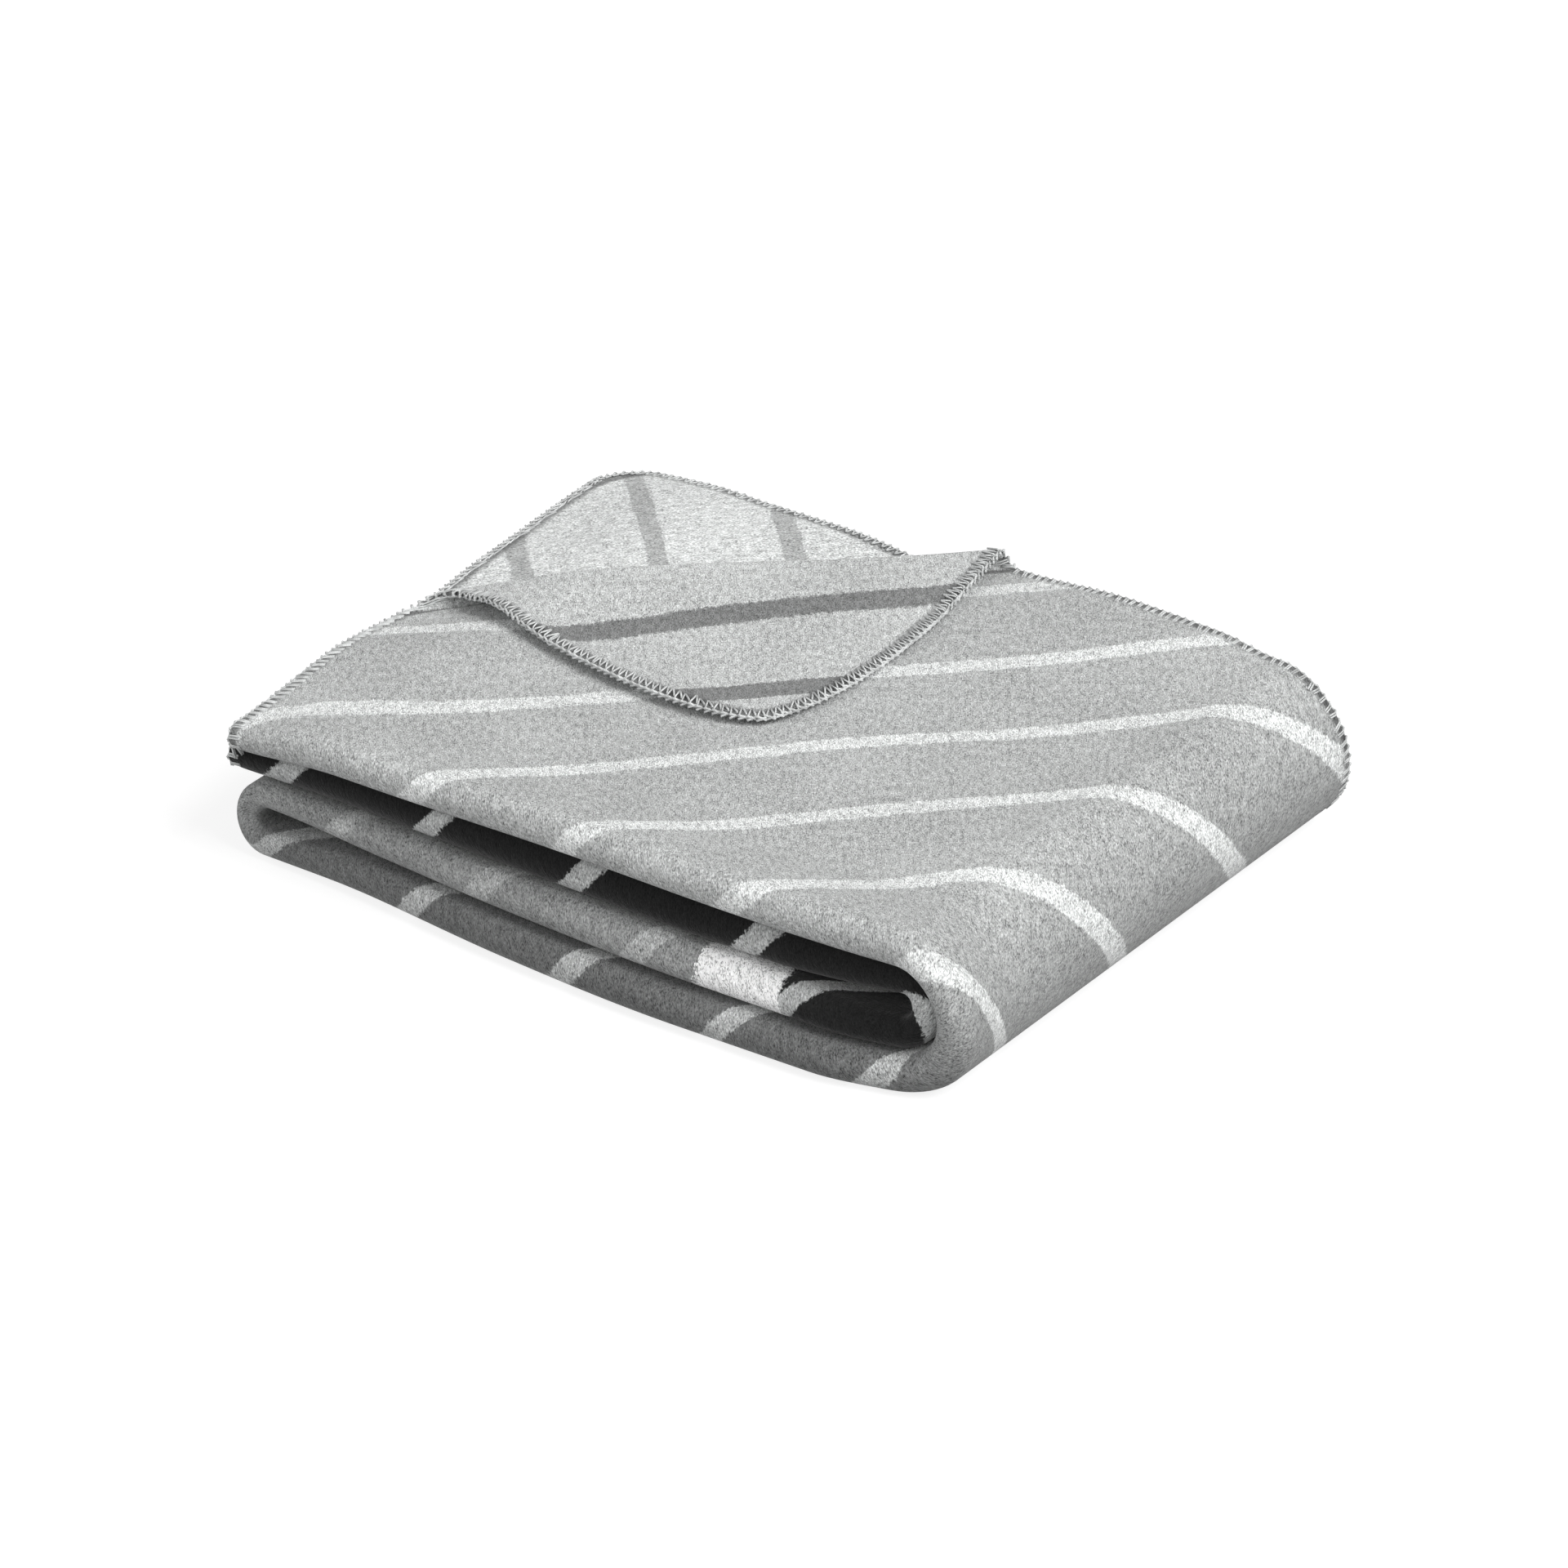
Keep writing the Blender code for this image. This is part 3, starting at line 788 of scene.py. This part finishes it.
def face_outwards(piece):
    bm = bmesh.new()
    bm.from_mesh(piece.data)
    volume = bm.calc_volume(signed=True)
    if volume < 0:
        bmesh.ops.reverse_faces(bm, faces=bm.faces)
        bm.to_mesh(piece.data)
    bm.free()
    print(piece.name, "volume", round(abs(volume) * 1e6), "ml", "turned" if volume < 0 else "")


CLOTHS = [lower_cloth, top_leaf, second_leaf, outer_wrap, inner_wrap, crease_roll, corner_flap]
for piece in CLOTHS:
    face_outwards(piece)

# %% [markdown]
# The edge of the throw is overlocked: on the front, pairs of legs reach eight millimetres into the cloth;
# on the back, the same yarn makes a row of Vs; and two strands cross on the rim. One such stitch is a
# few thin four-sided tubes. Some thirteen hundred copies go round the throw, so Geometry Nodes place them:
# a tree takes a row of points, each with the direction of the hem and of the cloth's front face, and puts a
# stitch on each with a little chance in its lean and length.

# %% One overlock stitch
STITCH_PITCH = 0.0053
LEG = 0.0078
YARN_RADIUS = 0.00060


def tube(bm, points, radius, sides=4):
    """A thin tube through points, closed at both ends."""
    points = [Vector(point) for point in points]
    rings = []
    for k, here in enumerate(points):
        run = (points[min(k + 1, len(points) - 1)] - points[max(k - 1, 0)]).normalized()
        across = run.cross(Vector((0.3, 0.2, 0.9))).normalized()
        lift = run.cross(across)
        turns = [2 * pi * j / sides for j in range(sides)]
        rings.append([bm.verts.new(here + radius * (across * cos(turn) + lift * sin(turn)))
                      for turn in turns])
    for one, two in zip(rings, rings[1:]):
        for j in range(sides):
            bm.faces.new((one[j], one[(j + 1) % sides], two[(j + 1) % sides], two[j]))
    bm.faces.new(rings[0][::-1])
    bm.faces.new(rings[-1])


def stitch_shape():
    """x along the hem, y outwards from it, z towards the front face."""
    bm = bmesh.new()
    face = CLOTH / 2 * PRESSED + YARN_RADIUS
    deep = CLOTH / 2 + YARN_RADIUS * 0.9
    for shift in (-0.0007, 0.0007):
        tube(bm, [(shift - 0.0008, 0.0004, 0.0002), (shift - 0.0005, -0.0008, face),
                  (shift, -LEG * 0.5, face * 1.1), (shift + 0.0004, -LEG, deep - 0.0003)], YARN_RADIUS)
    for way in (-1, 1):
        tube(bm, [(way * 0.0024, 0.0004, -0.0002), (way * 0.0018, -0.0010, -face),
                  (0.0002 * way, -LEG * 0.86, -deep)], YARN_RADIUS)
    half = STITCH_PITCH * 0.55
    for way in (-1, 1):
        tube(bm, [(x * half, 0.0004 + 0.0003 * abs(x), way * (0.0011 - 0.0022 * (x + 1) / 2) + 0.0003 * way)
                  for x in (-1, -0.4, 0.4, 1)], YARN_RADIUS * 1.35)
    bmesh.ops.recalc_face_normals(bm, faces=bm.faces)
    mesh = bpy.data.meshes.new("stitch")
    bm.to_mesh(mesh)
    bm.free()
    mesh.polygons.foreach_set("use_smooth", np.ones(len(mesh.polygons), bool))
    print("one stitch has", len(mesh.polygons), "faces")
    return into_scene("stitch", mesh)


stitch = stitch_shape()

# %% [markdown]
# The yarn is a light grey two-ply thread. Its twist is far finer than a stitch, so it is drawn by a slanting
# wave in the material that darkens the colour in bands, as painted shade between the plies, together with a
# slow change from light to dark along the hem.

# %% Yarn
def yarn_finish():
    shader = Shader("edging_yarn_twist")
    place = shader.node("ShaderNodeTexCoord")["Object"]
    slow = shader.noise(place, 160.0, 2.0, dimensions="3D")
    fine = shader.noise(place, 1500.0, 2.0, dimensions="3D")
    parts = shader.node("ShaderNodeSeparateXYZ", {}, {0: place})
    twist = ((parts["X"] + parts["Y"] * 0.8 + parts["Z"] * 1.7) * 5200 + fine * 4).sin() * 0.5 + 0.5
    colour = shader.mix(slow.ease(0.35, 0.65), grey(0.60), grey(0.90))
    # painted shade: dark bands along the twist stand in for the shade between the two plies
    colour = shader.mix(twist * 0.35, colour, grey(0.22))
    bump = shader.node("ShaderNodeBump", {}, {"Strength": 0.6, "Distance": 0.0002, "Height": twist})
    shader.fix(Base_Color=colour, Normal=bump["Normal"], Roughness=0.7, Specular_IOR_Level=0.25)
    return shader.material


YARN = yarn_finish()

# %% [markdown]
# The sewing machine repeats one stitch all along every hem. So one stitch is placed on each point of a hem,
# turned by the two directions stored there, and made a little longer, shorter or more slanted by chance.

# %% The tree that places the stitches
def stitching_tree():
    """Points with the directions "run" and "face" in, real stitches in yarn out."""
    tree = bpy.data.node_groups.new("stitching", "GeometryNodeTree")
    face = tree.interface
    face.new_socket("Geometry", in_out="INPUT", socket_type="NodeSocketGeometry")
    face.new_socket("Geometry", in_out="OUTPUT", socket_type="NodeSocketGeometry")
    for name, kind in (("Stitch", "NodeSocketObject"), ("Shortest", "NodeSocketFloat"),
                       ("Longest", "NodeSocketFloat"), ("Lean", "NodeSocketFloat"),
                       ("Seed", "NodeSocketInt"), ("Yarn", "NodeSocketMaterial")):
        face.new_socket(name, in_out="INPUT", socket_type=kind)
    nodes, links = tree.nodes, tree.links
    given, out = nodes.new("NodeGroupInput"), nodes.new("NodeGroupOutput")

    def add(kind, settings=None, **inputs):
        made = nodes.new(kind)
        for key, value in (settings or {}).items():
            setattr(made, key, value)
        for key, value in inputs.items():
            socket = made.inputs[key.replace("_", " ")]
            if isinstance(value, bpy.types.NodeSocket):
                links.new(value, socket)
            else:
                socket.default_value = value
        return made

    def direction(name):
        read = add("GeometryNodeInputNamedAttribute", {"data_type": "FLOAT_VECTOR"}, Name=name)
        return read.outputs["Attribute"]

    def chance(low, high):
        """A number between two sockets' values, drawn anew for each stitch."""
        drawn = add("FunctionNodeRandomValue", {"data_type": "FLOAT"}, Seed=given.outputs["Seed"])
        ends = [socket for socket in drawn.inputs if socket.type == "VALUE"]
        links.new(low, ends[0])
        links.new(high, ends[1])
        return [socket for socket in drawn.outputs if socket.type == "VALUE"][0]

    shape = add("GeometryNodeObjectInfo", Object=given.outputs["Stitch"])
    turn = add("FunctionNodeAxesToRotation", {"primary_axis": "Z", "secondary_axis": "X"},
               Primary_Axis=direction("face"), Secondary_Axis=direction("run"))
    negative = add("ShaderNodeMath", {"operation": "MULTIPLY"}, Value=given.outputs["Lean"])
    negative.inputs[1].default_value = -1
    tilt = add("ShaderNodeCombineXYZ", Z=chance(negative.outputs[0], given.outputs["Lean"]))
    tilted = add("FunctionNodeRotateRotation", {"rotation_space": "LOCAL"},
                 Rotation=turn.outputs[0], Rotate_By=tilt.outputs[0])
    length = chance(given.outputs["Shortest"], given.outputs["Longest"])
    size = add("ShaderNodeCombineXYZ", X=1, Y=length, Z=1)
    placed = add("GeometryNodeInstanceOnPoints", Points=given.outputs["Geometry"],
                 Instance=shape.outputs["Geometry"], Rotation=tilted.outputs[0], Scale=size.outputs[0])
    real = add("GeometryNodeRealizeInstances", Geometry=placed.outputs[0])
    dyed = add("GeometryNodeSetMaterial", Geometry=real.outputs[0], Material=given.outputs["Yarn"])
    links.new(dyed.outputs[0], out.inputs[0])
    return tree


STITCHING = stitching_tree()
INPUTS = {item.name: item.identifier for item in STITCHING.interface.items_tree if item.in_out == "INPUT"}
print("stitching tree with inputs", list(INPUTS))

# %% [markdown]
# A hem is a line along the rim of the cloth with, beside it, the same line on the front face and a little
# way into the cloth. The three together say where each stitch stands and how it is turned. They come from
# the very functions that shaped the cloth, so the stitches sit on it at every bend.

# %% Hems
def hem_points(line):
    """line(side, inside) gives points along a hem. Returns places, directions and front normals, one for
    each stitch."""
    rim, face, inner = line(0, False), line(1, False), line(0, True)
    steps = np.linalg.norm(np.diff(rim, axis=0), axis=1)
    walked = np.concatenate([[0], np.cumsum(steps)])
    count = max(round(walked[-1] / STITCH_PITCH), 1)
    stops = (np.arange(count) + 0.5) * walked[-1] / count
    rim, face, inner = (np.stack([np.interp(stops, walked, points[:, k]) for k in range(3)], -1)
                        for points in (rim, face, inner))
    up = face - rim
    up /= np.linalg.norm(up, axis=1, keepdims=True)
    out = rim - inner
    out -= up * (out * up).sum(1, keepdims=True)
    out /= np.linalg.norm(out, axis=1, keepdims=True)
    return rim, np.cross(out, up), up


def long_hem(part, stretch, first=0.0):
    """A hem along the throw, with its points closest together near a free end."""
    t = np.concatenate([1 - np.cos(np.linspace(0, pi / 2, 40)), np.linspace(1, 10, 300)[1:]]) / 10
    t = first + (1 - first) * (1 - t[::-1] if part == "b" else t)
    rim, inside = (0.0, 0.012) if stretch == 0 else (1.0, 0.988)
    return lambda side, inner: settle(section(part, t, stretch, inside if inner else rim, side)[0])


def end_hem(part, stretch):
    at, inner_at = (0.0, 0.01) if part == "a" else (1.0, 0.99)
    u = np.linspace(0, 1, 200)
    return lambda side, inner: settle(section(part, inner_at if inner else at, stretch, u, side)[0])


def roll_hem(s, inner_s):
    turn = np.linspace(0, pi, 60)
    return lambda side, inner: roll_at(inner_s if inner else s, turn, side)[0]


def flap_hem():
    s = FLAP_MIDDLE - FLAP_HALF * np.cos(np.linspace(0.02, pi - 0.02, 500))
    inner_s = FLAP_MIDDLE + (s - FLAP_MIDDLE) * 0.97
    edge = flap_edge(s)
    return lambda side, inner: flap_at(inner_s if inner else s, edge * (0.97 if inner else 1), side)[0]


def stitched(name, lines, seed):
    rows = [hem_points(line) for line in lines]
    rim, run, up = (np.concatenate([row[k] for row in rows]) for k in range(3))
    mesh = bpy.data.meshes.new(name)
    mesh.from_pydata(rim.tolist(), [], [])
    for label, vectors in (("run", run), ("face", up)):
        stored = mesh.attributes.new(label, "FLOAT_VECTOR", "POINT")
        stored.data.foreach_set("vector", vectors.astype(np.float32).ravel())
    made = into_scene(name, mesh)
    step = made.modifiers.new("stitching", "NODES")
    step.node_group = STITCHING
    for key, value in (("Stitch", stitch), ("Shortest", 0.86), ("Longest", 1.12), ("Lean", 0.22),
                       ("Seed", seed), ("Yarn", YARN)):
        step[INPUTS[key]] = value
    graph = bpy.context.evaluated_depsgraph_get()
    plain = bpy.data.meshes.new_from_object(made.evaluated_get(graph))
    made.modifiers.clear()
    made.data = plain
    print(name, len(rim), "stitches,", len(plain.polygons), "faces")
    return made


corner_t = (crease_right.x - X_END) / (X_RIGHT - X_END)
lower_hems = [long_hem(part, k) for part in ("d", "left", "c") for k in (0, 6)]
lower_stitches = stitched("lower_stitches", lower_hems, 3)
upper_stitches = stitched(
    "upper_stitches",
    [long_hem("a", 0, corner_t), long_hem("a", 6), long_hem("b", 0), long_hem("b", 6)]
    + [end_hem(part, stretch) for part in "ab" for stretch in range(7)], 5)
outer_stitches = stitched("outer_wrap_stitches", [long_hem("outer", 0), long_hem("outer", 6)], 7)
inner_stitches = stitched("inner_wrap_stitches", [long_hem("inner", 0), long_hem("inner", 6)], 9)
crease_stitches = stitched("crease_stitches", [roll_hem(0.0, 0.02), roll_hem(1.0, 0.98)], 11)
corner_stitches = stitched("turned_corner_stitches", [flap_hem()], 13)
bpy.data.objects.remove(stitch)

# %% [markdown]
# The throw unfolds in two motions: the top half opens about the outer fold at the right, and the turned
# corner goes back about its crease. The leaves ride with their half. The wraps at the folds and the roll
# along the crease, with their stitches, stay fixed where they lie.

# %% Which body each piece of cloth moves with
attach(lower_cloth, "lower_half")
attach(top_leaf, "upper_half")
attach(second_leaf, "upper_half")
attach(corner_flap, "turned_corner")
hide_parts("leaf_d", "left_fold", "leaf_c")
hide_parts("leaf_a")
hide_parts("leaf_b")
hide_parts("corner_flap")
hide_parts("outer_fold")
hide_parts("inner_fold")
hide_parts("crease_roll")
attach(lower_stitches, "lower_half")
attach(upper_stitches, "upper_half")
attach(corner_stitches, "turned_corner")
for piece in (outer_wrap, outer_stitches):
    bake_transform(piece)
for piece in (inner_wrap, inner_stitches):
    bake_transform(piece)
under = roll_front[:, 0]
over_it = roll_front[:, -1]
slope = np.polyfit(under @ np.array(along), (under[:, 2] + over_it[:, 2]) / 2, 1)[0]
square = Vector((-slope * along.x, -slope * along.y, 1))
lower_face = float((under @ np.array(square)).max())
upper_face = float((over_it @ np.array(square)).min())
print("crease blend from", round(lower_face, 4), "to", round(upper_face, 4))
for piece in (crease_roll, crease_stitches):
    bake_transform(piece)
edgings = [part["node"] for part in frame["record"]["subparts"] if part["node"].startswith("edging_")]
for piece, keys in ((lower_stitches, ("c_", "d_", "left_")), (upper_stitches, ("a_", "b_")),
                    (outer_stitches, ("outer_",)), (inner_stitches, ("inner_",)),
                    (corner_stitches, ("flap",))):
    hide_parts(*[name for name in edgings if name[len("edging_"):].startswith(keys)])

# %% [markdown]
# The size each piece of cloth had when it lay flat is printed: its share of the throw's width and length, and
# its area where it is not a whole rectangle. The layers are one cloth on the real throw, folded on itself, so
# each piece lies on the one below it; the table names that piece too, and the stitches of each.

# %% Flat sizes of the cloth
STRIP = (CREASE, pi * (ROLL_LEFT + ROLL_RIGHT) / 2)
corner_area = (crease_right.x - crease_left.x) * (crease_right.y - crease_left.y) / 2
top_area = WIDTH * RUNS["a"] - corner_area
flap_area = 2 * FLAP_HALF * FLAP_REACH * FLAP_POWER / (1 + FLAP_POWER)
for piece, flat, area, below, pieces in (
        (lower_cloth, (WIDTH, RUNS["d"] + RUNS["left"] + RUNS["c"]), None, [], [lower_stitches]),
        (second_leaf, (WIDTH, RUNS["b"]), None, [lower_cloth], []),
        (top_leaf, (WIDTH, RUNS["a"]), top_area, [second_leaf], [upper_stitches]),
        (outer_wrap, (WIDTH, RUNS["outer"]), None, [lower_cloth], [outer_stitches]),
        (inner_wrap, (WIDTH, RUNS["inner"]), None, [lower_cloth], [inner_stitches]),
        (crease_roll, STRIP, None, [top_leaf], [crease_stitches]),
        (corner_flap, (2 * FLAP_HALF, FLAP_REACH), flap_area, [top_leaf], [corner_stitches])):
    print(piece.name, [round(side, 4) for side in flat], area and round(area, 4))
print("the whole throw", round(WIDTH, 3), "by", round(LENGTH, 3))

# %% [markdown]
# A pale floor, a broad soft light from the right and a weaker one from the front give the gentle shading of
# a product picture. The floor gives off light of its own, so that it stays pale, and throws none onto the
# cloth.

# %% Studio
def look_from(azimuth, elevation, distance, target):
    """A place this far from the target, in degrees from the front and up, and the turn that faces it."""
    a, e = radians(azimuth), radians(elevation)
    back = Vector((sin(a) * cos(e), -cos(a) * cos(e), sin(e)))
    return target + back * distance, (-back).to_track_quat("-Z", "Y").to_euler()


camera_data = bpy.data.cameras.new("camera")
camera_data.lens = 201
camera_data.sensor_width = 36
camera = into_scene("camera", camera_data)
camera.location, camera.rotation_euler = look_from(
    azimuth=34.8, elevation=28.0, distance=5.0, target=Vector((0.0027, -0.0128, 0.040)))
bpy.context.scene.camera = camera

floor_shader = Shader("pale_floor")
floor_shader.fix(Base_Color=(0.30, 0.30, 0.30, 1), Roughness=0.9,
                 Emission_Color=(1, 1, 1, 1), Emission_Strength=0.80)
bpy.ops.mesh.primitive_plane_add(size=8, location=(0, 0, -0.0005))
floor = bpy.context.object
floor.name = "floor"
floor.data.materials.append(floor_shader.material)
floor.visible_diffuse = False


def soft_light(name, azimuth, elevation, spread, strength):
    data = bpy.data.lights.new(name, "SUN")
    data.angle, data.energy = radians(spread), strength
    lamp = into_scene(name, data)
    lamp.location, lamp.rotation_euler = look_from(azimuth, elevation, 2.0, Vector((0, 0, 0.05)))


soft_light("key", azimuth=96, elevation=45, spread=38, strength=2.8)
soft_light("fill", azimuth=-12, elevation=20, spread=70, strength=1.3)
world = bpy.data.worlds.new("studio")
world.use_nodes = True
world.node_tree.nodes["Background"].inputs["Color"].default_value = (1, 1, 1, 1)
world.node_tree.nodes["Background"].inputs["Strength"].default_value = 0.27
bpy.context.scene.world = world
bpy.context.scene.view_settings.view_transform = "Standard"
